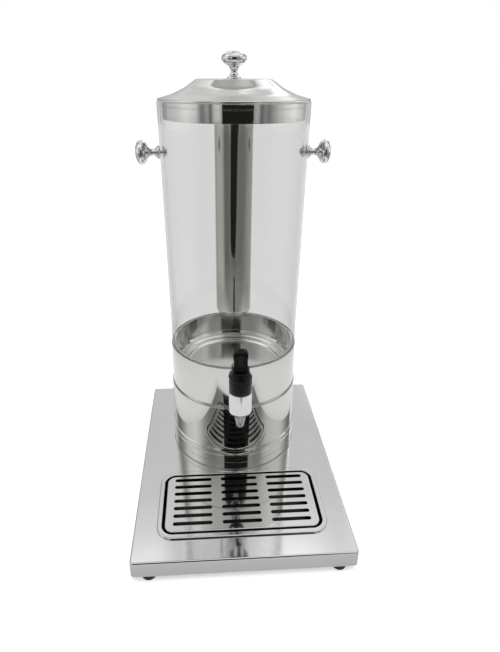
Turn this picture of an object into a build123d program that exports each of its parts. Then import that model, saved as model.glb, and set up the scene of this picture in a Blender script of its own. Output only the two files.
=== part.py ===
from build123d import *
import os
from math import cos, sin, radians, sqrt, hypot

os.makedirs("parts", exist_ok=True)

# ---------------------------------------------------------------- driving dimensions (mm)
# Frame: origin on the table under the middle of the base plate, +Z up, front towards -Y.

# base plate
PLATE_W, PLATE_D = 260.0, 350.0
PLATE_TOP = 29.0
SKIRT_BOTTOM = 8.0
PLATE_T = 1.2
PLATE_R = 4.5          # corner radius in plan
PLATE_BEND = 2.2       # outside bend radius of the top edge
FOOT_X, FOOT_Y = 110.0, 166.0
FOOT_R_TOP, FOOT_R_BOT = 8.6, 8.0
GUSSET_T = 1.5

# drum, tank and lid share this vertical axis
AXIS_Y = 70.5

# pedestal drum
PED_R, PED_T = 89.2, 1.0
PED_TOP = 121.4
JOINT_H, JOINT_DEPTH = 2.2, 3.0                     # groove under the tank
BEAD_Z0, BEAD_Z1, BEAD_H = 42.6, 51.6, 1.5          # swaged bead above the foot
BOSS_R, BOSS_H = 61.0, 4.0
PED_BOLT_R = 80.4

# drip tray and grille
TRAY_Y = -90.0
TRAY_W, TRAY_D, TRAY_R = 206.0, 111.0, 20.5        # flange outline
PAN_Y = -90.5
PAN_W, PAN_D, PAN_R = 194.0, 97.0, 14.0            # inside of the pan
PAN_FLOOR, PAN_T = 13.0, 0.8
FLANGE_TOP = 31.4
GRILLE_Y = -89.75
GRILLE_W, GRILLE_D, GRILLE_R = 187.6, 91.5, 11.0
GRILLE_TOP, GRILLE_T, GRILLE_RIM = 30.8, 1.0, 6.0
SLOT_L, SLOT_W, SLOT_PITCH_X, SLOT_PITCH_Y = 48.0, 5.5, 60.0, 12.0
SLOT_ROWS, SLOT_COLS = 7, 3
SLOT_Y0 = -51.5
LEG_X, LEG_Y, LEG_R = 88.2, (-131.0, -50.0), 2.2

# tank
JACKET_R, JACKET_T = 87.65, 1.0
JACKET_RIM = 179.8
CUP_R, CUP_T = 81.86, 0.8                           # inside radius of the cup
CUP_FLOOR, CUP_RIM = 138.6, 180.3
TUBE_BOTTOM, TUBE_TOP = 148.9, 490.5
TUBE_RI0, TUBE_T, TUBE_DRAFT = 82.9, 3.3, 0.0106
SEAT_Z0, SEAT_Z1 = 146.0, 147.1
SEALANT_TOP = 180.2
KNOB_Z = 433.5

# knob profile (radius, height) from the foot to the crown
KNOB_H = 28.2
KNOB_FOOT_R = 8.2

# tap
TAP_Y = -69.4
SHANK_Z = 166.6
NOZZLE_Z, BODY_Z0, BODY_Z1 = 132.0, 155.2, 181.9
NOZZLE_R = 4.4
BODY_R, BARREL_BORE = 13.75, 11.1
SEAT_Z, OUTLET_R = 157.7, 3.0
SHANK_R, SHANK_BORE, SHANK_END = 8.0, 5.0, 1.4
BONNET_R, BONNET_Z0, BONNET_TOP = 13.65, 182.5, 214.0
PIVOT_Z, KNUCKLE_R, KNUCKLE_HALF = 209.7, 6.5, 8.2
LEVER_TOP = 236.6
PIN_R = 1.6
STEM_R = 2.5

# lid
LID_R, LID_EDGE, LID_TOP = 88.85, 2.95, 514.0
LID_FLAT_R, LID_T = 43.2, 0.9
SKIRT_R, SKIRT_T, SKIRT_Z0 = 84.0, 0.9, 471.4
SOCKET_R = 24.95
ICE_R, ICE_T, ICE_BOTTOM, ICE_TOP = 23.85, 0.7, 222.5, 505.2


# ---------------------------------------------------------------- helpers
def profile_face(points):
    """Closed face in the XZ plane from (radius, z[, corner radius]) points."""
    n = len(points)
    pts = [(p[0], p[1]) for p in points]
    rad = [p[2] if len(p) > 2 else 0.0 for p in points]
    corner = []
    for i in range(n):
        p0, p1, p2 = pts[i - 1], pts[i], pts[(i + 1) % n]
        r = rad[i]
        if r <= 0:
            corner.append((p1, None, p1))
            continue
        a = (p0[0] - p1[0], p0[1] - p1[1]); la = hypot(*a); a = (a[0] / la, a[1] / la)
        b = (p2[0] - p1[0], p2[1] - p1[1]); lb = hypot(*b); b = (b[0] / lb, b[1] / lb)
        c = max(-1.0, min(1.0, a[0] * b[0] + a[1] * b[1]))
        half_tan = sqrt((1 - c) / (1 + c))
        d = r / half_tan
        s = (p1[0] + a[0] * d, p1[1] + a[1] * d)
        e = (p1[0] + b[0] * d, p1[1] + b[1] * d)
        h = (a[0] + b[0], a[1] + b[1]); lh = hypot(*h); h = (h[0] / lh, h[1] / lh)
        half_sin = sqrt((1 - c) / 2)
        m = (p1[0] + h[0] * (r / half_sin - r), p1[1] + h[1] * (r / half_sin - r))
        corner.append((s, m, e))
    edges = []
    for i in range(n):
        s, m, e = corner[i]
        if m is not None:
            edges.append(ThreePointArc((s[0], 0, s[1]), (m[0], 0, m[1]), (e[0], 0, e[1])))
        nxt = corner[(i + 1) % n][0]
        if hypot(nxt[0] - e[0], nxt[1] - e[1]) > 1e-6:
            edges.append(Line((e[0], 0, e[1]), (nxt[0], 0, nxt[1])))
    return make_face(edges)


def sheet(points, t):
    """Closed profile of a sheet of thickness t lying on the right of an open line of (radius, z, corner radius) points."""
    n = len(points)
    way = []
    for i in range(n - 1):
        dx, dz = points[i + 1][0] - points[i][0], points[i + 1][1] - points[i][1]
        way.append((dx / hypot(dx, dz), dz / hypot(dx, dz)))
    other = []
    for i, p in enumerate(points):
        d0, d1 = way[max(i - 1, 0)], way[min(i, n - 2)]
        n0, n1 = (d0[1], -d0[0]), (d1[1], -d1[0])
        k = t / (1 + n0[0] * n1[0] + n0[1] * n1[1])
        turn = d0[0] * d1[1] - d0[1] * d1[0]
        r = p[2] if len(p) > 2 else 0.0
        other.append((p[0] + k * (n0[0] + n1[0]), p[1] + k * (n0[1] + n1[1]), r + t if turn > 0 and r else max(r - t, 0.0)))
    return list(points) + other[::-1]


def lathe(points):
    return revolve(profile_face(points), axis=Axis.Z)


def on_axis(shape):
    return Pos(0, AXIS_Y, 0) * shape


def on_tap(shape):
    return Pos(0, TAP_Y, 0) * shape


def slab(w, d, r, y, z0, z1):
    return Pos(0, y, z0) * extrude(RectangleRounded(w, d, r), amount=z1 - z0)


def cyl_z(r, z0, z1, x=0.0, y=0.0):
    return Pos(x, y, (z0 + z1) / 2) * Cylinder(r, z1 - z0)


def cyl_y(r, y0, y1, x=0.0, z=0.0):
    return Pos(x, (y0 + y1) / 2, z) * Rot(90, 0, 0) * Cylinder(r, y1 - y0)


def cyl_x(r, x0, x1, y=0.0, z=0.0):
    return Pos((x0 + x1) / 2, y, z) * Rot(0, 90, 0) * Cylinder(r, x1 - x0)


def block(x0, x1, y0, y1, z0, z1):
    return Pos((x0 + x1) / 2, (y0 + y1) / 2, (z0 + z1) / 2) * Box(x1 - x0, y1 - y0, z1 - z0)


def hex_z(af, z0, z1, x=0.0, y=0.0):
    return Pos(x, y, z0) * extrude(RegularPolygon(af / sqrt(3), 6), amount=z1 - z0)


def top_edges(shape, z):
    return [e for e in shape.edges() if abs(e.bounding_box().min.Z - z) < 1e-4
            and abs(e.bounding_box().max.Z - z) < 1e-4]


def group(shapes):
    solids = []
    for s in shapes:
        solids += list(s.solids())
    return Compound(children=solids)


def tube_ri(z):
    return TUBE_RI0 + TUBE_DRAFT * (z - TUBE_BOTTOM)


def tube_ro(z):
    return tube_ri(z) + TUBE_T


nodes = {}

# ---------------------------------------------------------------- base plate, gussets, feet
feet_xy = [(sx * FOOT_X, sy * FOOT_Y) for sx in (-1, 1) for sy in (-1, 1)]
bolts_xy = [(PED_BOLT_R * cos(radians(a)), AXIS_Y + PED_BOLT_R * sin(radians(a))) for a in (45, 135, 225, 315)]

outer = slab(PLATE_W, PLATE_D, PLATE_R, 0, SKIRT_BOTTOM, PLATE_TOP)
outer = fillet(top_edges(outer, PLATE_TOP), PLATE_BEND)
under = PLATE_TOP - PLATE_T
inner = slab(PLATE_W - 2 * PLATE_T, PLATE_D - 2 * PLATE_T, PLATE_R - PLATE_T, 0, SKIRT_BOTTOM, under)
inner = fillet(top_edges(inner, under), PLATE_BEND - PLATE_T)
plate = outer - inner
pan_clear = 0.8
plate -= slab(PAN_W + 2 * PAN_T + 2 * pan_clear, PAN_D + 2 * PAN_T + 2 * pan_clear,
              PAN_R + PAN_T + pan_clear, PAN_Y, under - 1, PLATE_TOP + 1)
for x, y in bolts_xy:
    plate -= cyl_z(2.2, under - 1, PLATE_TOP + 1, x, y)
nodes["base_plate"] = plate

gussets = []
gx1, gy1 = PLATE_W / 2 - PLATE_T, PLATE_D / 2 - PLATE_T
for sx in (-1, 1):
    for sy in (-1, 1):
        outline = make_face(Polyline((sx * (gx1 - 36), sy * gy1), (sx * (gx1 - 5), sy * gy1),
                                     (sx * gx1, sy * (gy1 - 5)), (sx * gx1, sy * (gy1 - 31)),
                                     (sx * (gx1 - 14), sy * (gy1 - 31)), (sx * (gx1 - 36), sy * (gy1 - 18)),
                                     close=True))
        g = Pos(0, 0, SKIRT_BOTTOM) * extrude(outline, amount=GUSSET_T, dir=(0, 0, 1))
        g -= cyl_z(2.2, SKIRT_BOTTOM - 1, SKIRT_BOTTOM + GUSSET_T + 1, sx * FOOT_X, sy * FOOT_Y)
        gussets.append(g)
nodes["corner_gussets"] = group(gussets)

foot = lathe([(2.2, 3.4), (4.2, 3.4), (4.2, 0), (FOOT_R_BOT, 0, 1.2), (FOOT_R_TOP, SKIRT_BOTTOM, 0.6),
              (2.2, SKIRT_BOTTOM)])
nodes["rubber_feet"] = group([Pos(x, y, 0) * foot for x, y in feet_xy])
foot_screw = lathe([(0, 0.9), (2.6, 0.9), (3.8, 1.9), (3.8, 3.4), (2.0, 3.4), (2.0, 15.0), (0, 15.0)])
nodes["foot_screws"] = group([Pos(x, y, 0) * foot_screw for x, y in feet_xy])
foot_nut = hex_z(7.0, SKIRT_BOTTOM + GUSSET_T, SKIRT_BOTTOM + GUSSET_T + 3.2) - cyl_z(2.04, 0, 20)
nodes["foot_nuts"] = group([Pos(x, y, 0) * foot_nut for x, y in feet_xy])

# ---------------------------------------------------------------- pedestal drum
ri = PED_R - 1.4
step_r, step_z = PED_R - JOINT_DEPTH, PED_TOP - JOINT_H
pedestal = lathe([(74, PLATE_TOP), (PED_R + 0.8, PLATE_TOP, 0.4), (PED_R + 0.8, BEAD_Z0 - 2.8, 0.4), (PED_R - 0.2, BEAD_Z0 - 1.6, 0.3),
                  (PED_R + BEAD_H, BEAD_Z0, 1.0), (PED_R + BEAD_H, BEAD_Z1 - 2.6, 2.4), (PED_R, BEAD_Z1, 1.2),
                  (PED_R, step_z, 0.4), (step_r, step_z, 0.4), (step_r, PED_TOP, 0.4), (BOSS_R, PED_TOP, 1.2),
                  (BOSS_R - 1.0, PED_TOP + BOSS_H, 1.6), (0, PED_TOP + BOSS_H), (0, PED_TOP + BOSS_H - PED_T),
                  (BOSS_R - 2.0, PED_TOP + BOSS_H - PED_T, 0.8), (BOSS_R - 1.0, PED_TOP - PED_T, 2.0),
                  (step_r - PED_T, PED_TOP - PED_T, 0.6), (step_r - PED_T, step_z - PED_T, 0.6), (ri, step_z - PED_T, 0.6),
                  (ri, PLATE_TOP + PED_T), (74, PLATE_TOP + PED_T)])
pedestal = on_axis(pedestal)
for x, y in bolts_xy:
    pedestal -= cyl_z(2.2, PLATE_TOP - 1, PLATE_TOP + 3, x, y)
nodes["pedestal_drum"] = pedestal
ped_bolt = hex_z(7.0, under - 2.8, under) + cyl_z(2.0, under, PLATE_TOP + 5.6)
nodes["pedestal_bolts"] = group([Pos(x, y, 0) * ped_bolt for x, y in bolts_xy])
ped_nut = hex_z(7.0, PLATE_TOP + PED_T, PLATE_TOP + PED_T + 3.2) - cyl_z(2.04, PLATE_TOP, PLATE_TOP + 10)
nodes["pedestal_nuts"] = group([Pos(x, y, 0) * ped_nut for x, y in bolts_xy])

# ---------------------------------------------------------------- drip tray and grille
flange = slab(TRAY_W, TRAY_D, TRAY_R, TRAY_Y, PLATE_TOP, FLANGE_TOP)
flange = fillet(top_edges(flange, FLANGE_TOP), 1.8)
pan_bottom = PAN_FLOOR - PAN_T
pan_out = slab(PAN_W + 2 * PAN_T, PAN_D + 2 * PAN_T, PAN_R + PAN_T, PAN_Y, pan_bottom, PLATE_TOP + 0.5)
pan_out = fillet(top_edges(pan_out, pan_bottom), 4.0)
pan_in = slab(PAN_W, PAN_D, PAN_R, PAN_Y, PAN_FLOOR, FLANGE_TOP + 1)
pan_in = fillet(top_edges(pan_in, PAN_FLOOR), 3.2)
tray = flange + pan_out - pan_in
mouth = [e for e in top_edges(tray, FLANGE_TOP) if e.bounding_box().size.X < PAN_W + 1
         and abs(e.center().X) <= PAN_W / 2 + 0.1 and abs(e.center().Y - PAN_Y) <= PAN_D / 2 + 0.1]
tray = fillet(mouth, 0.6)
nodes["drip_tray"] = tray

g_under = GRILLE_TOP - GRILLE_T
grille = slab(GRILLE_W, GRILLE_D, GRILLE_R, GRILLE_Y, GRILLE_TOP - GRILLE_RIM, GRILLE_TOP)
grille = fillet(top_edges(grille, GRILLE_TOP), 1.3)
hollow = slab(GRILLE_W - 2 * GRILLE_T, GRILLE_D - 2 * GRILLE_T, GRILLE_R - GRILLE_T, GRILLE_Y,
              GRILLE_TOP - GRILLE_RIM, g_under)
grille -= hollow
slot = extrude(SlotOverall(SLOT_L, SLOT_W), amount=4)
for c in range(SLOT_COLS):
    for r in range(SLOT_ROWS):
        grille -= Pos((c - 1) * SLOT_PITCH_X, SLOT_Y0 - r * SLOT_PITCH_Y, GRILLE_TOP - 3) * slot
for sx in (-1, 1):
    for leg_y in LEG_Y:
        grille += cyl_z(LEG_R, PAN_FLOOR, g_under + 0.2, sx * LEG_X, leg_y)
nodes["drip_grille"] = grille

# ---------------------------------------------------------------- tank shell
ji = JACKET_R - JACKET_T
jacket = on_axis(lathe([(BOSS_R + 1.2, PED_TOP), (JACKET_R, PED_TOP, 1.6), (JACKET_R, JACKET_RIM, 0.48),
                        (ji, JACKET_RIM, 0.48), (ji, PED_TOP + JACKET_T, 0.6), (BOSS_R + 1.2, PED_TOP + JACKET_T)]))
hole_y = (AXIS_Y - 102.5, AXIS_Y - 62.5)
jacket -= cyl_y(8.4, *hole_y, 0, SHANK_Z)
nodes["tank_jacket"] = jacket

co = CUP_R + CUP_T
cup = on_axis(lathe(sheet([(0, CUP_FLOOR), (66.2, CUP_FLOOR, 2.2), (69.0, CUP_FLOOR + 3.2, 2.0), (74.2, CUP_FLOOR + 4.0, 2.0),
                           (76.4, CUP_FLOOR + 6.5, 1.8), (79.1, CUP_FLOOR + 7.1, 1.6), (CUP_R, CUP_FLOOR + 11.8, 3.0),
                           (CUP_R, CUP_RIM)], CUP_T)))
cup -= cyl_y(8.4, *hole_y, 0, SHANK_Z)
nodes["tank_cup"] = cup

nodes["tube_seat_ring"] = on_axis(lathe([(co + 0.05, SEAT_Z0), (ji - 0.05, SEAT_Z0), (ji - 0.05, SEAT_Z1), (co + 0.05, SEAT_Z1)]))
seal = on_axis(lathe([(co + 0.05, SEAT_Z1), (ji - 0.2, SEAT_Z1), (ji - 0.2, TUBE_BOTTOM), (tube_ri(TUBE_BOTTOM) - 0.03, TUBE_BOTTOM),
                      (tube_ri(SEALANT_TOP) - 0.03, SEALANT_TOP), (co + 0.05, SEALANT_TOP)]))
nodes["tube_gasket"] = seal - cyl_y(11.6, *hole_y, 0, SHANK_Z)

tube = on_axis(lathe([(tube_ri(TUBE_BOTTOM), TUBE_BOTTOM), (tube_ro(TUBE_BOTTOM), TUBE_BOTTOM),
                      (tube_ro(TUBE_TOP), TUBE_TOP, 0.9), (tube_ri(TUBE_TOP), TUBE_TOP, 0.9)]))
tube -= cyl_y(11.6, *hole_y, 0, SHANK_Z)
tube -= cyl_x(2.4, -110, 110, AXIS_Y, KNOB_Z)
nodes["tank_tube"] = tube


# ---------------------------------------------------------------- knobs
def knob_solid():
    side = Spline((KNOB_FOOT_R, 0, 0.9), (7.3, 0, 2.1), (5.4, 0, 3.5), (4.3, 0, 5.1), (3.75, 0, 7.0), (4.15, 0, 9.0),
                  (5.3, 0, 11.3), (7.5, 0, 13.4), (10.6, 0, 15.1), (13.0, 0, 17.1), (14.3, 0, 19.5), (14.3, 0, 21.9),
                  (13.2, 0, 24.2), (11.2, 0, 25.9))
    crown = Spline((11.2, 0, 25.9), (9.6, 0, 26.5), (8.4, 0, 27.2), (6.0, 0, 27.8), (3.0, 0, 28.1), (0, 0, KNOB_H))
    face = make_face([Line((0, 0, 0), (KNOB_FOOT_R, 0, 0)), Line((KNOB_FOOT_R, 0, 0), (KNOB_FOOT_R, 0, 0.9)),
                      side, crown, Line((0, 0, KNOB_H), (0, 0, 0))])
    return revolve(face, axis=Axis.Z) - cyl_z(2.04, -1, 12)


knob = knob_solid()
screw_len = 11.0
r_out, r_in = tube_ro(KNOB_Z), tube_ri(KNOB_Z)
seat_x = r_out + 1.0                 # where a side knob's foot stands
out_body = on_axis(lathe([(0, TUBE_BOTTOM), (tube_ro(TUBE_BOTTOM) + 0.04, TUBE_BOTTOM), (tube_ro(TUBE_TOP) + 0.04, TUBE_TOP), (0, TUBE_TOP)]))
in_body = on_axis(lathe([(0, TUBE_BOTTOM), (tube_ri(TUBE_BOTTOM) - 0.04, TUBE_BOTTOM), (tube_ri(TUBE_TOP) - 0.04, TUBE_TOP), (0, TUBE_TOP)]))
washers, screws, outer_seals, inner_seals = [], [], [], []
for s, name in ((-1, "side_knob_left"), (1, "side_knob_right")):
    nodes[name] = Pos(s * seat_x, AXIS_Y, KNOB_Z) * Rot(0, 90 * s, 0) * knob
    lo, hi = sorted((s * (r_out - 3), s * seat_x))
    outer_seals.append(cyl_x(7.6, lo, hi, AXIS_Y, KNOB_Z) - out_body - cyl_x(2.3, -120, 120, AXIS_Y, KNOB_Z))
    lo, hi = sorted((s * (r_in - 1.6), s * (r_in + 2)))
    inner_seals.append((cyl_x(6.6, lo, hi, AXIS_Y, KNOB_Z) & in_body) - cyl_x(2.3, -120, 120, AXIS_Y, KNOB_Z))
    lo, hi = sorted((s * (r_in - 2.8), s * (r_in - 1.6)))
    washers.append(cyl_x(6.0, lo, hi, AXIS_Y, KNOB_Z) - cyl_x(2.15, -120, 120, AXIS_Y, KNOB_Z))
    head = r_in - 2.8
    screw = lathe([(0, 0), (2.0, 0), (2.0, -(seat_x + screw_len - head)), (0, -(seat_x + screw_len - head))]) + \
        lathe([(0, 0), (4.0, 0), (4.0, 1.4), (2.6, 2.5), (0, 2.7)])
    screw -= Pos(0, 0, 2.2) * (Box(4.4, 0.9, 1.6) + Box(0.9, 4.4, 1.6))
    screws.append(Pos(s * head, AXIS_Y, KNOB_Z) * Rot(0, -90 * s, 0) * screw)
nodes["side_knob_screws"] = group(screws)
nodes["side_knob_washers"] = group(washers)
nodes["side_knob_outer_seals"] = group(outer_seals)
nodes["side_knob_inner_seals"] = group(inner_seals)

# ---------------------------------------------------------------- tap
jacket_front = AXIS_Y - JACKET_R
cup_front = AXIS_Y - CUP_R
flange_y = jacket_front - 2.5
body = on_tap(lathe([(0, NOZZLE_Z), (NOZZLE_R, NOZZLE_Z, 0.4), (7.7, 149.3, 1.0), (10.8, 151.5, 1.0), (12.85, 152.8, 1.2),
                     (BODY_R, BODY_Z0, 1.2), (BODY_R, BODY_Z1, 0.5), (12.2, BODY_Z1), (12.2, 192.0), (0, 192.0)]))
body += cyl_y(9.5, TAP_Y, jacket_front - 15.0, 0, SHANK_Z)
body += cyl_y(SHANK_R, TAP_Y, SHANK_END, 0, SHANK_Z)
body += cyl_y(12.4, flange_y - 2.6, flange_y, 0, SHANK_Z)
body -= on_tap(cyl_z(BARREL_BORE, SEAT_Z, 196))
body -= on_tap(cyl_z(OUTLET_R, NOZZLE_Z - 1, SEAT_Z + 1))
body -= cyl_y(SHANK_BORE, TAP_Y, SHANK_END + 1, 0, SHANK_Z)
nodes["tap_body"] = body

gasket = cyl_y(12.0, flange_y, jacket_front + 4, 0, SHANK_Z) - on_axis(cyl_z(JACKET_R + 0.04, 100, 200))
nodes["tap_outer_gasket"] = gasket - cyl_y(SHANK_R + 0.1, -40, 20, 0, SHANK_Z)
bushing = cyl_y(11.0, jacket_front, cup_front + 2, 0, SHANK_Z) & on_axis(cyl_z(ji - 0.05, 100, 200) - cyl_z(co + 0.05, 100, 200))
nodes["shank_bushing"] = bushing - cyl_y(SHANK_R + 0.15, -40, 20, 0, SHANK_Z)
in_face = cup_front + 2.5
inner_gasket = cyl_y(11.3, cup_front - 1, in_face, 0, SHANK_Z) & on_axis(cyl_z(CUP_R - 0.04, 100, 200))
nodes["tap_inner_gasket"] = inner_gasket - cyl_y(SHANK_R + 0.1, -40, 20, 0, SHANK_Z)
nodes["shank_washer"] = cyl_y(11.6, in_face, in_face + 1.2, 0, SHANK_Z) - cyl_y(SHANK_R + 0.1, -40, 20, 0, SHANK_Z)
nut = Pos(0, in_face + 1.2, SHANK_Z) * Rot(-90, 0, 0) * hex_z(22.0, 0, 8.0)
nodes["shank_nut"] = nut - cyl_y(SHANK_R + 0.04, -40, 30, 0, SHANK_Z)

ear = KNUCKLE_HALF + 0.4
bonnet = lathe([(0, BONNET_Z0), (13.25, BONNET_Z0, 0.5), (13.55, BONNET_Z0 + 4.5, 2.0), (BONNET_R, 196.9, 0.3), (BONNET_R - 0.6, 197.4, 0.2),
                (BONNET_R - 0.6, 198.0, 0.2), (BONNET_R, 198.5, 0.3), (BONNET_R, 202.2, 0.9), (11.9, 205.2, 4.0), (10.8, 208.8, 5.0),
                (10.2, BONNET_TOP, 0.8), (0, BONNET_TOP)])
bonnet -= cyl_z(12.35, BONNET_Z0 - 1, 192.7)
bonnet -= cyl_z(BARREL_BORE, 192, 199.4)
bonnet -= cyl_z(STEM_R + 0.35, 199, 206)
bonnet -= cyl_x(KNUCKLE_R + 0.5, -ear, ear, 0, PIVOT_Z)
bonnet -= block(-ear, ear, -20, 20, PIVOT_Z, 226)
bonnet -= cyl_x(PIN_R + 0.02, -20, 20, 0, PIVOT_Z)
nodes["tap_bonnet"] = on_tap(bonnet)
nodes["lever_pin"] = on_tap(cyl_x(PIN_R, -10.4, 10.4, 0, PIVOT_Z))

front_view = make_face([Polyline((-KNUCKLE_HALF, PIVOT_Z), (KNUCKLE_HALF, PIVOT_Z), (8.1, 218.0), (8.0, 224.2)),
                        Spline((8.0, 224.2), (8.3, 226.8), (8.7, 229.6), (8.6, 232.0), (7.6, 234.6), (4.6, 236.2), (0, LEVER_TOP),
                               (-4.6, 236.2), (-7.6, 234.6), (-8.6, 232.0), (-8.7, 229.6), (-8.3, 226.8), (-8.0, 224.2)),
                        Polyline((-8.0, 224.2), (-8.1, 218.0), (-KNUCKLE_HALF, PIVOT_Z))])
side_view = make_face([Polyline((4.2, PIVOT_Z), (-4.2, PIVOT_Z), (-4.3, 224.2)),
                       Spline((-4.3, 224.2), (-4.5, 227.4), (-4.6, 230.6), (-3.9, 233.4), (-1.8, 235.5), (1.2, 236.6),
                              (3.9, 236.5), (5.2, 234.6), (5.0, 230.8), (4.5, 226.8), (4.2, 222.6)),
                       Line((4.2, 222.6), (4.2, PIVOT_Z))])
lever = Pos(0, 20, 0) * Rot(90, 0, 0) * extrude(front_view, amount=40, dir=(0, 0, 1))
lever &= Pos(-20, 0, 0) * Rot(0, 0, 90) * Rot(90, 0, 0) * extrude(side_view, amount=40, dir=(0, 0, 1))
lever += cyl_x(KNUCKLE_R, -KNUCKLE_HALF, KNUCKLE_HALF, 0, PIVOT_Z)
rib = cyl_z(2.0, 219.0, 231.4, 0, -3.7)
lever += rib
lever -= cyl_x(PIN_R + 0.05, -20, 20, 0, PIVOT_Z)
nodes["tap_lever"] = on_tap(lever)

nodes["tap_stem"] = on_tap(lathe([(0, 162.7), (STEM_R, 162.7), (STEM_R, 198.4, 0.6), (0, 198.4)]))
cup_valve = lathe([(0, SEAT_Z), (5.6, SEAT_Z), (7.2, SEAT_Z + 1.6, 0.6), (6.6, 161.7, 0.8), (4.2, 164.2, 1.5), (4.2, 172.5, 1.5),
                   (10.5, 176.0, 1.0), (10.5, 179.8, 0.8), (STEM_R + 0.02, 179.8), (STEM_R + 0.02, 162.7), (0, 162.7)])
nodes["seat_cup"] = on_tap(cup_valve)

# ---------------------------------------------------------------- lid and ice tube
e0 = TUBE_TOP
lid_line = [(2.5, LID_TOP), (LID_FLAT_R, LID_TOP, 8.0), (57.0, 504.8, 45.0), (71.7, 498.2, 50.0), (85.8, 494.2)]
under_line = sheet(lid_line, LID_T)[len(lid_line):][::-1]
shell = lathe(lid_line[:-1] + [(85.8, 494.2, 8.0), (LID_R, e0 + LID_EDGE, 1.3), (LID_R, e0, 1.1), (SKIRT_R - SKIRT_T - 0.2, e0),
                               (SKIRT_R - SKIRT_T - 0.2, e0 + LID_EDGE + 0.4, 1.0)] + under_line[:-1][::-1])
nodes["lid_shell"] = on_axis(shell)
nodes["lid_skirt"] = on_axis(lathe([(SKIRT_R - SKIRT_T, SKIRT_Z0, 0.3), (SKIRT_R, SKIRT_Z0, 0.3), (SKIRT_R, e0), (SKIRT_R - SKIRT_T, e0)]))
nodes["lid_seal"] = on_axis(lathe([(SKIRT_R + 0.03, 484.0), (85.9, 484.0, 0.7), (85.9, 486.2, 0.7), (SKIRT_R + 0.03, 486.2)]))
nodes["lid_knob"] = on_axis(Pos(0, 0, LID_TOP) * knob)
lid_under = LID_TOP - LID_T
nodes["lid_knob_washer"] = on_axis(cyl_z(6.0, lid_under - 1.2, lid_under) - cyl_z(2.15, 500, 520))
lid_screw = lathe([(0, lid_under - 3.9), (2.6, lid_under - 3.7), (4.0, lid_under - 2.6), (4.0, lid_under - 1.2),
                   (2.0, lid_under - 1.2), (2.0, LID_TOP + screw_len), (0, LID_TOP + screw_len)])
lid_screw -= Pos(0, 0, lid_under - 3.4) * (Box(4.4, 0.9, 1.6) + Box(0.9, 4.4, 1.6))
nodes["lid_knob_screw"] = on_axis(lid_screw)
nodes["ice_tube_socket"] = on_axis(lathe([(SOCKET_R, 484.6, 0.3), (SOCKET_R + 1.2, 484.6, 0.3), (SOCKET_R + 1.2, lid_under - 1.2, 1.0),
                                          (33.4, lid_under - 1.2), (33.4, lid_under), (SOCKET_R, lid_under)]))
nodes["ice_tube"] = on_axis(lathe([(0, ICE_BOTTOM), (ICE_R, ICE_BOTTOM, 7.0), (ICE_R, ICE_TOP), (ICE_R - ICE_T, ICE_TOP),
                                   (ICE_R - ICE_T, ICE_BOTTOM + ICE_T, 6.3), (0, ICE_BOTTOM + ICE_T)]))
nodes["ice_tube_oring"] = on_axis(lathe([(ICE_R + 0.03, 495.4), (ICE_R + 0.75, 495.4, 0.3), (ICE_R + 0.75, 497.4, 0.3), (ICE_R + 0.03, 497.4)]))

for name, shape in nodes.items():
    solids = shape.solids()
    out = solids[0] if len(solids) == 1 else Compound(children=list(solids))
    export_step(out, f"parts/{name}.step")
    print(f"{name}: {len(solids)} solid(s), {sum(s.volume for s in solids) / 1000:.2f} cm3")
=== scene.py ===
import math

import bmesh
import bpy
from mathutils import Matrix, Vector


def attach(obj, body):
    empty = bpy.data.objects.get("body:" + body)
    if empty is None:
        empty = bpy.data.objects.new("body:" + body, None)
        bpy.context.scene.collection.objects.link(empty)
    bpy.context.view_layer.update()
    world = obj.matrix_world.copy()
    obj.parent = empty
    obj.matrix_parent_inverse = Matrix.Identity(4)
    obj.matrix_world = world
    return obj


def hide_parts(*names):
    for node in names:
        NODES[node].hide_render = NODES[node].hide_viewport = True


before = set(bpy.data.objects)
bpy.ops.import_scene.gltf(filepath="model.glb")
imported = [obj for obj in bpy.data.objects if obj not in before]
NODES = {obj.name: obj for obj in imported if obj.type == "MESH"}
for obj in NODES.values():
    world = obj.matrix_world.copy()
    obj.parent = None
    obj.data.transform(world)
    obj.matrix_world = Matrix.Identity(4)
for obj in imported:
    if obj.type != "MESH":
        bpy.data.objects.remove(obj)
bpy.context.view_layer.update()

scene = bpy.context.scene
scene.view_settings.view_transform = "Standard"
scene.view_settings.look = "None"

AXIS_Y = 0.0705                            # vertical axis of drum, tank and lid
TAP_Y = -0.0694                            # vertical axis of the tap


# ------------------------------------------------------------------ node helpers
def new_mat(name):
    m = bpy.data.materials.new(name)
    m.use_nodes = True
    nt = m.node_tree
    nt.nodes.clear()
    out = nt.nodes.new("ShaderNodeOutputMaterial")
    bsdf = nt.nodes.new("ShaderNodeBsdfPrincipled")
    nt.links.new(bsdf.outputs[0], out.inputs["Surface"])
    return m, nt, bsdf


def object_coords(nt, scale=(1, 1, 1), loc=(0, 0, 0), rot=(0, 0, 0)):
    tc = nt.nodes.new("ShaderNodeTexCoord")
    mp = nt.nodes.new("ShaderNodeMapping")
    mp.inputs["Location"].default_value = loc
    mp.inputs["Rotation"].default_value = rot
    mp.inputs["Scale"].default_value = scale
    nt.links.new(tc.outputs["Object"], mp.inputs["Vector"])
    return mp.outputs["Vector"]


def math_node(nt, op, *args):
    n = nt.nodes.new("ShaderNodeMath")
    n.operation = op
    for i, v in enumerate(args):
        if isinstance(v, (int, float)):
            n.inputs[i].default_value = v
        else:
            nt.links.new(v, n.inputs[i])
    return n.outputs[0]


def split(nt, vec):
    n = nt.nodes.new("ShaderNodeSeparateXYZ")
    nt.links.new(vec, n.inputs[0])
    return n.outputs


def join(nt, x, y, z):
    n = nt.nodes.new("ShaderNodeCombineXYZ")
    for i, v in enumerate((x, y, z)):
        if isinstance(v, (int, float)):
            n.inputs[i].default_value = v
        else:
            nt.links.new(v, n.inputs[i])
    return n.outputs[0]


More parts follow.
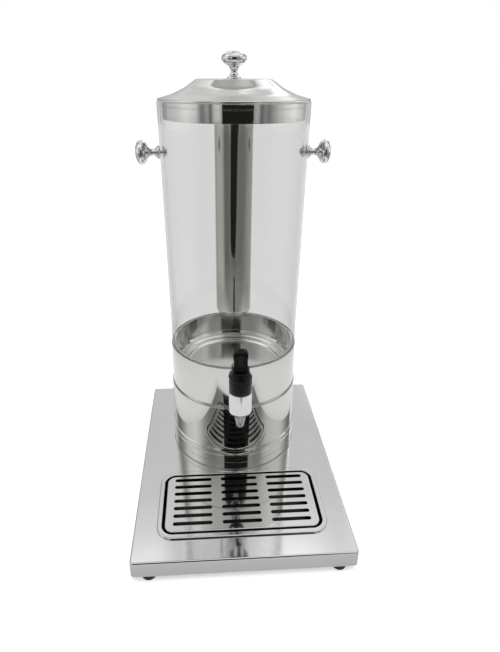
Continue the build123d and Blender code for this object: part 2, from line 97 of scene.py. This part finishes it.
def turned_coords(nt, radial, axial, around, cy=AXIS_Y):
    """Coordinates of a turned piece: distance from its axis, height and angle, each scaled."""
    x, y, z = split(nt, object_coords(nt, loc=(0, -cy, 0)))
    r = math_node(nt, "SQRT", math_node(nt, "ADD", math_node(nt, "MULTIPLY", x, x), math_node(nt, "MULTIPLY", y, y)))
    a = math_node(nt, "ABSOLUTE", math_node(nt, "ARCTAN2", x, math_node(nt, "MULTIPLY", y, -1.0)))
    return join(nt, math_node(nt, "MULTIPLY", r, radial), math_node(nt, "MULTIPLY", z, axial), math_node(nt, "MULTIPLY", a, around))


def noise(nt, vec, scale, detail=3.0, rough=0.55):
    n = nt.nodes.new("ShaderNodeTexNoise")
    n.inputs["Scale"].default_value = scale
    n.inputs["Detail"].default_value = detail
    n.inputs["Roughness"].default_value = rough
    nt.links.new(vec, n.inputs["Vector"])
    return n.outputs["Fac"]


def remap(nt, value, a, b, lo, hi, smooth=False):
    n = nt.nodes.new("ShaderNodeMapRange")
    if smooth:
        n.interpolation_type = "SMOOTHSTEP"
    n.inputs["From Min"].default_value = a
    n.inputs["From Max"].default_value = b
    n.inputs["To Min"].default_value = lo
    n.inputs["To Max"].default_value = hi
    nt.links.new(value, n.inputs["Value"])
    return n.outputs["Result"]


def mix_value(nt, fac, a, b):
    n = nt.nodes.new("ShaderNodeMix")
    n.data_type = "FLOAT"
    for i, v in ((0, fac), (2, a), (3, b)):
        if isinstance(v, (int, float)):
            n.inputs[i].default_value = v
        else:
            nt.links.new(v, n.inputs[i])
    return n.outputs[0]


def mix_color(nt, fac, c1, c2):
    n = nt.nodes.new("ShaderNodeMix")
    n.data_type = "RGBA"
    nt.links.new(fac, n.inputs[0])
    for i, c in ((6, c1), (7, c2)):
        if isinstance(c, tuple):
            n.inputs[i].default_value = (*c, 1)
        else:
            nt.links.new(c, n.inputs[i])
    return n.outputs[2]


def bump(nt, height, strength, distance, normal=None):
    n = nt.nodes.new("ShaderNodeBump")
    n.inputs["Strength"].default_value = strength
    n.inputs["Distance"].default_value = distance
    nt.links.new(height, n.inputs["Height"])
    if normal is not None:
        nt.links.new(normal, n.inputs["Normal"])
    return n.outputs["Normal"]


def ramp(nt, value, stops, interpolation="LINEAR"):
    n = nt.nodes.new("ShaderNodeValToRGB")
    n.color_ramp.interpolation = interpolation
    el = n.color_ramp.elements
    while len(el) > 1:
        el.remove(el[-1])
    el[0].position = stops[0][0]
    el[0].color = (*[stops[0][1]] * 3, 1)
    for p, v in stops[1:]:
        e = el.new(p)
        e.color = (*[v] * 3, 1)
    nt.links.new(value, n.inputs["Fac"])
    return n.outputs["Color"]


# ------------------------------------------------------------------ materials
def steel(name, color, rough, spread, grain, line_bump=0.012, line_rough=0.02, cloud=0.02, wave=0.0, wave_scale=7.0, dull_and_shade=None, seam=False, rim=None):
    """Stainless steel: polishing lines, cloudy handling marks, a few hairline scratches and a slight waviness of the
    sheet.
    grain: ("turned", radial, axial) for spun or rolled pieces, ("straight", sx, sy, sz) for flat ones.
    dull_and_shade: (height, colour, roughness), a duller part below a height in the given colour with extra
    roughness; a dark colour there is painted shade.
    seam: a ground weld line down the back of a rolled piece.
    rim: (height, roughness), a rougher ground edge above a height, its colour lifted by a painted highlight."""
    m, nt, b = new_mat(name)
    b.inputs["Metallic"].default_value = 1.0
    vec = turned_coords(nt, grain[1], grain[2], 2.5) if grain[0] == "turned" else object_coords(nt, grain[1:])
    fine = noise(nt, vec, 1.0, 4.0, 0.65)
    marks = noise(nt, object_coords(nt), 15.0, 5.0, 0.62)
    wipes = noise(nt, object_coords(nt, (9, 45, 30), rot=(0.3, 0.5, 0.6)), 1.0, 3.0, 0.5)
    big = noise(nt, object_coords(nt, loc=(3.1, 1.7, 0.4)), wave_scale, 2.0, 0.5)
    hair = noise(nt, object_coords(nt, (12, 620, 300), rot=(0.2, 0.1, 0.45)), 1.0, 1.0, 0.4)
    hair = remap(nt, hair, 0.70, 0.76, 0, 1)
    lo = tuple(c * (1 - cloud) for c in color)
    hi = tuple(min(1, c * (1 + cloud)) for c in color)
    tone = math_node(nt, "MULTIPLY_ADD", marks, 0.5, math_node(nt, "MULTIPLY", big, 0.5))
    col = mix_color(nt, remap(nt, tone, 0.35, 0.65, 0, 1), lo, hi)
    r = math_node(nt, "ADD", remap(nt, marks, 0.45, 0.72, rough, rough + spread), remap(nt, fine, 0.3, 0.75, -line_rough / 2, line_rough / 2))
    r = math_node(nt, "ADD", r, remap(nt, wipes, 0.55, 0.75, 0, spread * 0.7))
    r = math_node(nt, "MULTIPLY_ADD", hair, 0.05, r)
    # below the height: the given colour and extra roughness; where that colour is dark it is painted shade
    if dull_and_shade:
        z = split(nt, object_coords(nt))[2]
        low = remap(nt, math_node(nt, "MULTIPLY_ADD", marks, 0.0012, z), dull_and_shade[0] - 0.0002, dull_and_shade[0] + 0.0012, 1, 0)
        col = mix_color(nt, low, col, dull_and_shade[1])
        r = mix_value(nt, low, r, math_node(nt, "ADD", r, dull_and_shade[2]))
    if rim:
        top = remap(nt, math_node(nt, "MULTIPLY_ADD", marks, 0.0002, split(nt, object_coords(nt))[2]), rim[0], rim[0] + 0.0002, 0, 1)
        # painted highlight: the colour is lifted toward 1.2 times the steel colour at the rim top
        col = mix_color(nt, math_node(nt, "MULTIPLY", top, 0.5), col, tuple(min(1, c * 1.2) for c in color))
        r = mix_value(nt, top, r, math_node(nt, "ADD", r, rim[1]))
    if seam:
        sx, sy, sz = split(nt, object_coords(nt, loc=(0, -AXIS_Y, 0)))
        ang = math_node(nt, "ABSOLUTE", math_node(nt, "ARCTAN2", sx, sy))
        weld = remap(nt, math_node(nt, "MULTIPLY_ADD", fine, 0.004, ang), 0.010, 0.018, 1, 0, True)
        col = mix_color(nt, math_node(nt, "MULTIPLY", weld, 0.6), col, tuple(c * 0.72 for c in color))
        r = math_node(nt, "MULTIPLY_ADD", weld, 0.16, r)
    nt.links.new(col, b.inputs["Base Color"])
    nt.links.new(r, b.inputs["Roughness"])
    n1 = bump(nt, fine, line_bump, 0.0002)
    if wave:
        n1 = bump(nt, big, wave, 0.004, n1)
    nt.links.new(n1, b.inputs["Normal"])
    return m


def chrome(name, color, rough, spread=0.04, underside_shade=None):
    """Bright plating with a faint cast-metal ripple and finger marks.
    underside_shade: (height, colour, roughness), painted shade on the downward-facing underside below a height, with
    extra roughness."""
    m, nt, b = new_mat(name)
    b.inputs["Metallic"].default_value = 1.0
    big = noise(nt, object_coords(nt), 60.0, 3.0, 0.5)
    lo = tuple(c * 0.96 for c in color)
    col = mix_color(nt, big, lo, color)
    r = remap(nt, noise(nt, object_coords(nt), 110.0, 5.0, 0.6), 0.45, 0.75, rough, rough + spread)
    # painted shade: downward-facing surfaces below the height get the darker colour and extra roughness
    if underside_shade:
        geo = nt.nodes.new("ShaderNodeNewGeometry")
        down = remap(nt, split(nt, geo.outputs["Normal"])[2], -0.28, -0.45, 0, 1, True)
        below = math_node(nt, "MULTIPLY", down, remap(nt, split(nt, object_coords(nt))[2], underside_shade[0] - 0.0003, underside_shade[0], 1, 0))
        col = mix_color(nt, below, col, underside_shade[1])
        r = mix_value(nt, below, r, math_node(nt, "ADD", r, underside_shade[2]))
    nt.links.new(col, b.inputs["Base Color"])
    nt.links.new(r, b.inputs["Roughness"])
    n1 = bump(nt, noise(nt, object_coords(nt), 900.0, 2.0), 0.015, 0.0002)
    nt.links.new(bump(nt, noise(nt, object_coords(nt), 85.0, 1.0), 0.02, 0.002, n1), b.inputs["Normal"])
    return m


def plastic(name, color, rough, grain=1400.0, grain_bump=0.12, worn=(0.055, 0.055, 0.057), level=0.22):
    """Moulded black plastic with a fine grain; handled edges a little greyer."""
    m, nt, b = new_mat(name)
    geo = nt.nodes.new("ShaderNodeNewGeometry")
    edge = remap(nt, geo.outputs["Pointiness"], 0.505, 0.57, 0, 0.8)
    smear = noise(nt, object_coords(nt), 70.0, 4.0)
    wear = math_node(nt, "MULTIPLY", edge, remap(nt, smear, 0.35, 0.65, 0.2, 1))
    nt.links.new(mix_color(nt, wear, color, worn), b.inputs["Base Color"])
    nt.links.new(remap(nt, smear, 0.3, 0.7, rough - 0.06, rough + 0.08), b.inputs["Roughness"])
    nt.links.new(bump(nt, noise(nt, object_coords(nt), grain, 2.0), grain_bump, 0.0002), b.inputs["Normal"])
    b.inputs["IOR"].default_value = 1.45
    b.inputs["Specular IOR Level"].default_value = level
    return m


def rubber(name, color, rough):
    m, nt, b = new_mat(name)
    dust = noise(nt, object_coords(nt), 120.0, 5.0, 0.65)
    dusty = tuple(min(1, c * 1.7 + 0.012) for c in color)
    nt.links.new(mix_color(nt, remap(nt, dust, 0.45, 0.75, 0, 1), color, dusty), b.inputs["Base Color"])
    nt.links.new(remap(nt, dust, 0.3, 0.7, rough, min(1.0, rough + 0.15)), b.inputs["Roughness"])
    nt.links.new(bump(nt, noise(nt, object_coords(nt), 1600.0, 3.0), 0.25, 0.0003), b.inputs["Normal"])
    b.inputs["Specular IOR Level"].default_value = 0.3
    return m


def silicone(name, color, rough, alpha=1.0):
    m, nt, b = new_mat(name)
    film = noise(nt, object_coords(nt), 90.0, 3.0)
    nt.links.new(mix_color(nt, film, color, tuple(c * 0.9 for c in color)), b.inputs["Base Color"])
    nt.links.new(remap(nt, film, 0.3, 0.7, rough, rough + 0.12), b.inputs["Roughness"])
    nt.links.new(bump(nt, noise(nt, object_coords(nt), 700.0, 2.0), 0.1, 0.0002), b.inputs["Normal"])
    b.inputs["Alpha"].default_value = alpha
    if alpha == 1.0:
        b.inputs["Subsurface Weight"].default_value = 0.15
        b.inputs["Subsurface Radius"].default_value = (0.003, 0.003, 0.003)
    return m


def clear_plastic(name):
    """Clear tube wall: see-through, mirror-like towards grazing view, with faint handling haze and drawing ripple."""
    m, nt, b = new_mat(name)
    out = next(n for n in nt.nodes if n.type == "OUTPUT_MATERIAL")
    b.inputs["Metallic"].default_value = 1.0
    haze = noise(nt, object_coords(nt, (6, 6, 2)), 6.0, 5.0, 0.6)
    nt.links.new(mix_color(nt, haze, (0.94, 0.95, 0.95), (0.98, 0.98, 0.98)), b.inputs["Base Color"])
    nt.links.new(remap(nt, haze, 0.4, 0.75, 0.02, 0.07), b.inputs["Roughness"])
    nt.links.new(bump(nt, noise(nt, object_coords(nt, (1, 1, 0.25)), 22.0, 2.0), 0.02, 0.002), b.inputs["Normal"])
    tr = nt.nodes.new("ShaderNodeBsdfTransparent")
    lw = nt.nodes.new("ShaderNodeLayerWeight")
    lw.inputs["Blend"].default_value = 0.5
    face = lw.outputs["Facing"]
    tint = nt.nodes.new("ShaderNodeValToRGB")
    el = tint.color_ramp.elements
    el[0].position, el[0].color = 0.0, (0.992, 0.993, 0.992, 1)
    el[1].position, el[1].color = 1.0, (0.80, 0.81, 0.81, 1)
    for pos, c in ((0.60, (0.990, 0.992, 0.991, 1)), (0.72, (0.975, 0.978, 0.977, 1)), (0.82, (0.975, 0.978, 0.977, 1))):
        e = el.new(pos)
        e.color = c
    nt.links.new(face, tint.inputs["Fac"])
    nt.links.new(tint.outputs["Color"], tr.inputs["Color"])
    shine = math_node(nt, "MULTIPLY_ADD", math_node(nt, "POWER", face, 5.0), 0.85, 0.036)
    shine = math_node(nt, "ADD", shine, remap(nt, haze, 0.45, 0.8, 0.0, 0.010))
    mx = nt.nodes.new("ShaderNodeMixShader")
    nt.links.new(shine, mx.inputs[0])
    nt.links.new(tr.outputs[0], mx.inputs[1])
    nt.links.new(b.outputs[0], mx.inputs[2])
    nt.links.new(mx.outputs[0], out.inputs["Surface"])
    return m


M = {
    "drum": steel("drum_polished", (0.625, 0.625, 0.600), 0.05, 0.04, ("turned", 60, 700), 0.010, 0.02, 0.02, 0.012, seam=True),
    "jacket": steel("jacket_polished", (0.625, 0.625, 0.605), 0.05, 0.04, ("turned", 60, 700), 0.010, 0.02, 0.02, 0.010, seam=True, rim=(0.1793, 0.35)),
    "plate": steel("plate_polished", (0.615, 0.617, 0.614), 0.06, 0.05, ("straight", 700, 3, 3), 0.012, 0.03, 0.02, 0.010),
    # the tray below 26.5 mm is near black: painted shade inside the pan under the grille, with extra roughness
    "tray": steel("tray_polished", (0.62, 0.62, 0.61), 0.06, 0.05, ("straight", 400, 3, 3), 0.012, 0.03, 0.02, 0.008,
                  dull_and_shade=(0.0265, (0.060, 0.059, 0.057), 0.22)),
    # the grille below 29.5 mm is dark grey: painted shade on its slot walls and underside, with extra roughness
    "grille": steel("grille_polished", (0.62, 0.62, 0.61), 0.05, 0.04, ("straight", 3, 500, 3), 0.012, 0.03, 0.02, 0.010,
                    dull_and_shade=(0.0295, (0.14, 0.14, 0.137), 0.15)),
    "cup": steel("cup_spun", (0.65, 0.645, 0.62), 0.06, 0.04, ("turned", 800, 800), 0.002, 0.01, 0.02, 0.006,
                 dull_and_shade=(0.1470, (0.68, 0.675, 0.655), 0.09), rim=(0.1797, 0.35)),
    "lid": steel("lid_polished", (0.625, 0.623, 0.612), 0.09, 0.05, ("turned", 800, 300), 0.02, 0.04, 0.02, 0.008,
                 dull_and_shade=(0.4932, (0.74, 0.735, 0.72), 0.10)),
    "skirt": steel("lid_skirt_polished", (0.625, 0.625, 0.605), 0.045, 0.03, ("turned", 60, 700), 0.012, 0.02, 0.02, 0.008),
    "ice": steel("ice_tube_polished", (0.62, 0.615, 0.58), 0.05, 0.04, ("straight", 260, 260, 1.2), 0.02, 0.02, 0.03, 0.012),
    "plain": steel("plain_steel", (0.55, 0.55, 0.54), 0.28, 0.1, ("straight", 300, 4, 4), 0.05, 0.06, 0.05),
    "zinc": steel("fastener_steel", (0.58, 0.585, 0.59), 0.24, 0.12, ("straight", 60, 60, 900), 0.05, 0.06, 0.06),
    "chrome": chrome("knob_chrome", (0.78, 0.78, 0.79), 0.03),
    # the tap's downward-facing underside below 155.6 mm gets painted shade
    "tap": chrome("tap_chrome", (0.685, 0.695, 0.705), 0.045, 0.04, underside_shade=(0.1556, (0.15, 0.15, 0.155), 0.2)),
    "black": plastic("black_moulded", (0.0035, 0.0035, 0.0038), 0.28),
    "bush": plastic("bushing_plastic", (0.02, 0.02, 0.022), 0.45),
    "rubber": rubber("foot_rubber", (0.010, 0.010, 0.010), 0.6),
    "silicone": silicone("pale_silicone", (0.62, 0.62, 0.60), 0.4),
    "clear_seal": silicone("clear_silicone", (0.62, 0.62, 0.60), 0.25, 0.03),
    "clear": clear_plastic("clear_tube"),
}
LOOK = {
    "base_plate": "plate", "corner_gussets": "plain", "rubber_feet": "rubber", "foot_screws": "zinc", "foot_nuts": "zinc",
    "pedestal_drum": "drum", "pedestal_bolts": "zinc", "pedestal_nuts": "zinc", "drip_tray": "tray", "drip_grille": "grille",
    "tank_jacket": "jacket", "tank_cup": "cup", "tube_seat_ring": "plain", "tube_gasket": "silicone", "tank_tube": "clear",
    "side_knob_left": "chrome", "side_knob_right": "chrome", "side_knob_screws": "zinc", "side_knob_washers": "zinc",
    "side_knob_outer_seals": "silicone", "side_knob_inner_seals": "silicone", "tap_body": "tap", "tap_outer_gasket": "rubber",
    "shank_bushing": "bush", "tap_inner_gasket": "silicone", "shank_washer": "zinc", "shank_nut": "zinc", "tap_bonnet": "black",
    "lever_pin": "zinc", "tap_lever": "black", "tap_stem": "zinc", "seat_cup": "silicone", "lid_shell": "lid",
    "lid_skirt": "skirt", "lid_seal": "clear_seal", "lid_knob": "chrome", "lid_knob_screw": "zinc", "lid_knob_washer": "zinc",
    "ice_tube_socket": "plain", "ice_tube": "ice", "ice_tube_oring": "rubber",
}
for n, o in NODES.items():
    o.data.materials.clear()
    o.data.materials.append(M[LOOK[n]])


# ------------------------------------------------------------------ moulded pieces with soft edges
def softened(node, name, body, voxel, rounds):
    """A moulded copy of a node: the same shape with every edge rounded over."""
    o = bpy.data.objects.new(name, NODES[node].data.copy())
    scene.collection.objects.link(o)
    rm = o.modifiers.new("remesh", "REMESH")
    rm.mode = "VOXEL"
    rm.voxel_size = voxel
    sm = o.modifiers.new("soften", "SMOOTH")
    sm.factor = 0.5
    sm.iterations = rounds
    dg = bpy.context.evaluated_depsgraph_get()
    me = bpy.data.meshes.new_from_object(o.evaluated_get(dg))
    o.modifiers.clear()
    o.data = me
    me.name = name
    for p in me.polygons:
        p.use_smooth = True
    me.materials.clear()
    me.materials.append(M[LOOK[node]])
    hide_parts(node)
    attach(o, body)
    return o


softened("tap_lever", "lever_moulding", "lever", 0.00035, 10)
softened("tap_bonnet", "bonnet_moulding", "tank", 0.00028, 7)


# ------------------------------------------------------------------ floor, cards, light
def plane(name, corners, material):
    me = bpy.data.meshes.new(name)
    me.from_pydata([Vector(c) for c in corners], [], [list(range(len(corners)))])
    me.materials.append(material)
    o = bpy.data.objects.new(name, me)
    scene.collection.objects.link(o)
    return o


def emission_mat(name, color=None):
    m = bpy.data.materials.new(name)
    m.use_nodes = True
    t = m.node_tree
    t.nodes.clear()
    out = t.nodes.new("ShaderNodeOutputMaterial")
    em = t.nodes.new("ShaderNodeEmission")
    if color:
        em.inputs["Color"].default_value = (*color, 1)
    t.links.new(em.outputs[0], out.inputs["Surface"])
    return m, t, em


def only_reflected(o):
    o.visible_camera = False
    o.visible_diffuse = False
    o.visible_shadow = False
    o.visible_transmission = False
    return o


THROUGH = 0.74      # brightness of the backdrop behind the clear tube

floor_mat, nt, b = new_mat("pale_floor")
out = next(n for n in nt.nodes if n.type == "OUTPUT_MATERIAL")
b.inputs["Roughness"].default_value = 0.8
b.inputs["Specular IOR Level"].default_value = 0.2
nt.links.new(mix_color(nt, noise(nt, object_coords(nt), 1.5, 2.0), (0.86, 0.86, 0.86), (0.89, 0.89, 0.89)), b.inputs["Base Color"])
b.inputs["Emission Color"].default_value = (1, 1, 1, 1)
b.inputs["Emission Strength"].default_value = 0.42
lp = nt.nodes.new("ShaderNodeLightPath")
em = nt.nodes.new("ShaderNodeEmission")
em.inputs["Color"].default_value = (THROUGH, THROUGH, THROUGH, 1)
behind = math_node(nt, "MULTIPLY", lp.outputs["Is Camera Ray"], math_node(nt, "GREATER_THAN", lp.outputs["Transparent Depth"], 0.5))
mx = nt.nodes.new("ShaderNodeMixShader")
nt.links.new(behind, mx.inputs[0])
nt.links.new(b.outputs[0], mx.inputs[1])
nt.links.new(em.outputs[0], mx.inputs[2])
nt.links.new(mx.outputs[0], out.inputs["Surface"])
floor = plane("floor", [(-40, -40, 0), (40, -40, 0), (40, 40, 0), (-40, 40, 0)], floor_mat)
floor.visible_glossy = False


def azimuth(nt, x, y):
    """Turns around the object from the front, 0.5 straight ahead, growing to the right."""
    a = math_node(nt, "ARCTAN2", x, math_node(nt, "MULTIPLY", y, -1.0))
    return math_node(nt, "MULTIPLY_ADD", a, 1 / (2 * math.pi), 0.5)


def by_azimuth(nt, az, stops):
    return ramp(nt, az, [((d + 180) / 360, v) for d, v in stops])


# what polished steel sees of the table: white close by, greyer further off, darker towards the camera, with a painted
# shadow close around the base plate
card, nt, em = emission_mat("table_card")
x, y, z = split(nt, object_coords(nt))
az = azimuth(nt, x, y)
r = math_node(nt, "SQRT", math_node(nt, "ADD", math_node(nt, "MULTIPLY", x, x), math_node(nt, "MULTIPLY", y, y)))
far = by_azimuth(nt, az, [(-180, 0.90), (-165, 0.85), (-150, 0.55), (-128, 0.38), (-100, 0.40), (-72, 0.40), (-52, 0.30), (0, 0.34), (52, 0.30), (72, 0.40), (100, 0.42),
                          (128, 0.48), (145, 0.85), (180, 0.90)])
start = by_azimuth(nt, az, [(-180, 0.35), (-130, 0.30), (-50, 0.29), (-36, 0.30), (-22, 0.315), (-7, 0.33), (-2, 0.324), (3.5, 0.306), (9, 0.324), (14, 0.33), (29, 0.315), (43, 0.30), (55, 0.29), (130, 0.30), (180, 0.35)])
width = by_azimuth(nt, az, [(-180, 0.36), (-60, 0.36), (-36, 0.24), (-20, 0.12), (-5, 0.03), (12, 0.03), (27, 0.12), (43, 0.24), (66, 0.36), (180, 0.36)])
away = math_node(nt, "DIVIDE", math_node(nt, "SUBTRACT", r, start), width)
away = remap(nt, away, 0.0, 1.0, 0, 1, True)
level = mix_value(nt, away, 0.94, far)
horizon = by_azimuth(nt, az, [(-180, 0.90), (-165, 0.85), (-150, 0.55), (-128, 0.42), (-112, 0.55), (-92, 0.56), (-76, 0.54), (-68, 0.36), (-60, 0.19), (-36, 0.19), (-29, 0.26),
                              (-20, 0.24), (0, 0.20), (24, 0.24), (40, 0.22), (62, 0.23), (78, 0.30), (100, 0.38), (128, 0.44), (145, 0.85), (180, 0.90)])
level = mix_value(nt, remap(nt, r, 0.46, 0.78, 0, 1, True), level, horizon)
# painted shadow: the card is darker within 7 cm of the base plate's outline, where the plate shades the table
dist = math_node(nt, "MAXIMUM", math_node(nt, "SUBTRACT", math_node(nt, "ABSOLUTE", x), 0.130), math_node(nt, "SUBTRACT", math_node(nt, "ABSOLUTE", y), 0.175))
level = math_node(nt, "MULTIPLY", level, remap(nt, dist, -0.01, 0.07, 0.66, 1.0, True))
nt.links.new(level, em.inputs["Strength"])
disc = [(6.0 * math.cos(math.tau * i / 96), 6.0 * math.sin(math.tau * i / 96), 0.0005) for i in range(96)]
only_reflected(plane("table_card", disc, card))

# a dark upright shape in front, where a camera stands, gives the polished steel its dark band
outline = [(0.066, -0.20, 0.02), (0.078, -0.27, 0.09), (0.10, -0.30, 0.12), (0.20, -0.32, 0.18), (0.36, -0.30, 0.24), (0.42, -0.27, 0.34), (0.50, -0.27, 0.35), (0.60, -0.26, 0.32), (0.74, -0.26, 0.31),
           (0.80, -0.24, 0.29)]
dark = [(a, -0.66, z) for z, a, b2 in outline] + [(b2, -0.66, z) for z, a, b2 in reversed(outline)]
only_reflected(plane("dark_card", dark, emission_mat("dark_card", (0.018, 0.017, 0.016))[0]))

world = bpy.data.worlds.new("studio")
scene.world = world
world.use_nodes = True
wt = world.node_tree
wt.nodes.clear()
wout = wt.nodes.new("ShaderNodeOutputWorld")
tc = wt.nodes.new("ShaderNodeTexCoord")
x, y, z = split(wt, tc.outputs["Generated"])
az = azimuth(wt, x, y)
el = math_node(wt, "MULTIPLY", math_node(wt, "ARCSINE", z), 180 / math.pi)
# brightness around the room at three heights, and a bright strip high at the back
low = by_azimuth(wt, az, [(-180, 0.85), (-176, 0.80), (-172, 0.42), (-155, 0.40), (-140, 0.34), (-133, 0.62), (-106, 0.80), (-83, 1.09), (-64, 0.86), (-55, 0.27), (-51, 0.27),
                          (-44, 0.48), (-39, 0.13), (-34, 0.70), (-27, 0.84), (-20, 0.40), (0, 0.30), (26, 0.40), (32, 0.60), (35, 0.50), (39, 0.13), (45, 0.34), (52, 0.24),
                          (69, 0.66), (85, 0.95), (103, 1.19), (126, 0.79), (136, 0.66), (143, 0.38), (164, 0.38), (169, 0.80), (180, 0.85)])
mid = by_azimuth(wt, az, [(-180, 0.72), (-177, 0.84), (-155, 0.78), (-140, 0.36), (-128, 0.30), (-115, 0.62), (-100, 1.20), (-80, 1.38), (-68, 1.00), (-60, 0.62), (-52, 0.40), (-42, 0.32), (-30, 0.40), (0, 0.60), (28, 0.48), (38, 0.34), (48, 0.38),
                          (57, 0.80), (64, 1.00), (80, 1.15), (98, 1.15), (115, 0.62), (128, 0.30), (140, 0.36), (155, 0.75), (170, 0.84), (173, 0.68), (177, 0.66), (180, 0.72)])
high = by_azimuth(wt, az, [(-180, 0.56), (-140, 0.75), (-110, 1.00), (-80, 1.10), (-50, 1.05), (0, 1.10), (50, 1.10), (80, 1.50), (110, 1.50), (140, 1.00), (180, 0.56)])
v = mix_value(wt, remap(wt, el, 6, 22, 0, 1, True), low, mid)
lift = by_azimuth(wt, az, [(-180, 0.0), (-70, 0.0), (-60, 0.40), (-52, 0.50), (-42, 0.50), (-30, 0.40), (-15, 0.20), (0, 0.10), (15, 0.20), (28, 0.36), (38, 0.52), (48, 0.52),
                           (57, 0.15), (64, 0.0), (180, 0.0)])
v = math_node(wt, "MULTIPLY_ADD", lift, remap(wt, el, 40, 46, 0, 1, True), v)
v = mix_value(wt, remap(wt, el, 52, 64, 0, 1, True), v, high)
# the bank of light high at the back: rising to a sharp upper edge, stronger to both sides of the middle
rise = ramp(wt, math_node(wt, "DIVIDE", el, 90.0), [(0.0, 0.0), (44.0 / 90, 0.0), (48.3 / 90, 0.19), (50.2 / 90, 0.43), (52.6 / 90, 0.46), (53.6 / 90, 0.0), (1.0, 0.0)])
gain = by_azimuth(wt, az, [(-180, 0.0), (-174.5, 0.0), (-171.5, 1.0), (-160, 1.0), (-140, 0.4), (-120, 0.0), (120, 0.0), (140, 0.3), (158, 0.28), (165, 1.5), (171, 1.3),
                           (174.5, 0.0), (180, 0.0)])
dip = ramp(wt, math_node(wt, "DIVIDE", el, 90.0), [(0.0, 0.86), (52.8 / 90, 0.86), (53.8 / 90, 0.42), (54.8 / 90, 0.44), (56.0 / 90, 0.51), (1.0, 0.51)])
back = remap(wt, y, 0.38, 0.52, 0, 1, True)
bank = math_node(wt, "MULTIPLY_ADD", rise, gain, dip)
v = mix_value(wt, math_node(wt, "MULTIPLY", back, remap(wt, el, 38, 44, 0, 1, True)), v, bank)
# a soft light behind to the right, wider below, and a weaker one to the left
def patch(a0, a1, a2, a3, e0, e1, e2, e3):
    return math_node(wt, "MULTIPLY", by_azimuth(wt, az, [(-180, 0.0), (a0, 0.0), (a1, 1.0), (a2, 1.0), (a3, 0.0), (180, 0.0)]),
                     ramp(wt, math_node(wt, "DIVIDE", el, 90.0), [(0.0, 0.0), (e0 / 90, 0.0), (e1 / 90, 1.0), (e2 / 90, 1.0), (e3 / 90, 0.0), (1.0, 0.0)]))


soft = math_node(wt, "MAXIMUM", patch(138, 145, 155, 160, 28, 34, 45, 52), patch(150, 156, 164, 168, 16, 22, 32, 36))
soft = math_node(wt, "MAXIMUM", soft, math_node(wt, "MULTIPLY", patch(-162, -156, -146, -138, 28, 34, 45, 52), 0.3))
v = mix_value(wt, soft, v, 1.55)
# less light from straight left and right above, so that the lid stands out from the side too
side = math_node(wt, "MULTIPLY", by_azimuth(wt, az, [(-180, 0.0), (-122, 0.0), (-108, 0.42), (-72, 0.42), (-58, 0.0), (58, 0.0), (72, 0.42), (108, 0.42), (122, 0.0), (180, 0.0)]),
                 ramp(wt, math_node(wt, "DIVIDE", el, 90.0), [(0.0, 0.0), (14.0 / 90, 0.0), (20.0 / 90, 1.0), (31.0 / 90, 1.0), (34.5 / 90, 0.0), (51.0 / 90, 0.0), (55.0 / 90, 1.0), (76.0 / 90, 1.0), (84.0 / 90, 0.0), (1.0, 0.0)]))
v = math_node(wt, "MULTIPLY", v, math_node(wt, "SUBTRACT", 1.0, side))
bg_env = wt.nodes.new("ShaderNodeBackground")
wt.links.new(v, bg_env.inputs["Strength"])
bg_env.inputs["Color"].default_value = (1, 1, 1, 1)
bg_cam = wt.nodes.new("ShaderNodeBackground")
lp = wt.nodes.new("ShaderNodeLightPath")
wt.links.new(mix_value(wt, math_node(wt, "GREATER_THAN", lp.outputs["Transparent Depth"], 0.5), 1.0, THROUGH), bg_cam.inputs["Strength"])
bg_cam.inputs["Color"].default_value = (1, 1, 1, 1)
mixs = wt.nodes.new("ShaderNodeMixShader")
wt.links.new(lp.outputs["Is Camera Ray"], mixs.inputs[0])
wt.links.new(bg_env.outputs[0], mixs.inputs[1])
wt.links.new(bg_cam.outputs[0], mixs.inputs[2])
wt.links.new(mixs.outputs[0], wout.inputs["Surface"])


def area(name, loc, target, size, energy, color=(1, 1, 1), glossy=True):
    d = bpy.data.lights.new(name, "AREA")
    d.shape = "RECTANGLE"
    d.size, d.size_y = size
    d.energy = energy
    d.color = color
    o = bpy.data.objects.new(name, d)
    scene.collection.objects.link(o)
    o.location = loc
    o.rotation_euler = (Vector(target) - Vector(loc)).to_track_quat("-Z", "Y").to_euler()
    o.visible_glossy = glossy
    o.visible_camera = False
    return o


area("overhead", (0.2, 0.3, 2.6), (0, 0, 0), (3.2, 3.2), 40, glossy=False)

# ------------------------------------------------------------------ camera
AZ, PITCH, ROLL = map(math.radians, (3.76995, 25.42380, 0.28605))
F_PX, PPX, PPY, WIDTH, HEIGHT = 503.965, 236.271, 316.965, 500.0, 652.0
fwd = Vector((math.sin(AZ) * math.cos(PITCH), math.cos(AZ) * math.cos(PITCH), -math.sin(PITCH)))
right = Vector((math.cos(AZ), -math.sin(AZ), 0.0))
up = right.cross(fwd)
right2 = right * math.cos(ROLL) + up * math.sin(ROLL)
up2 = -right * math.sin(ROLL) + up * math.cos(ROLL)
cd = bpy.data.cameras.new("camera")
cd.sensor_width = 36.0
cd.lens = F_PX / HEIGHT * 36.0
cd.shift_x = (WIDTH / 2 - PPX) / HEIGHT
cd.shift_y = (PPY - HEIGHT / 2) / HEIGHT
cd.clip_start, cd.clip_end = 0.01, 100.0
cam = bpy.data.objects.new("camera", cd)
scene.collection.objects.link(cam)
rot = Matrix((right2, up2, -fwd)).transposed().to_4x4()
cam.matrix_world = Matrix.Translation(Vector((-0.038076, -0.566621, 0.515191))) @ rot
scene.camera = cam
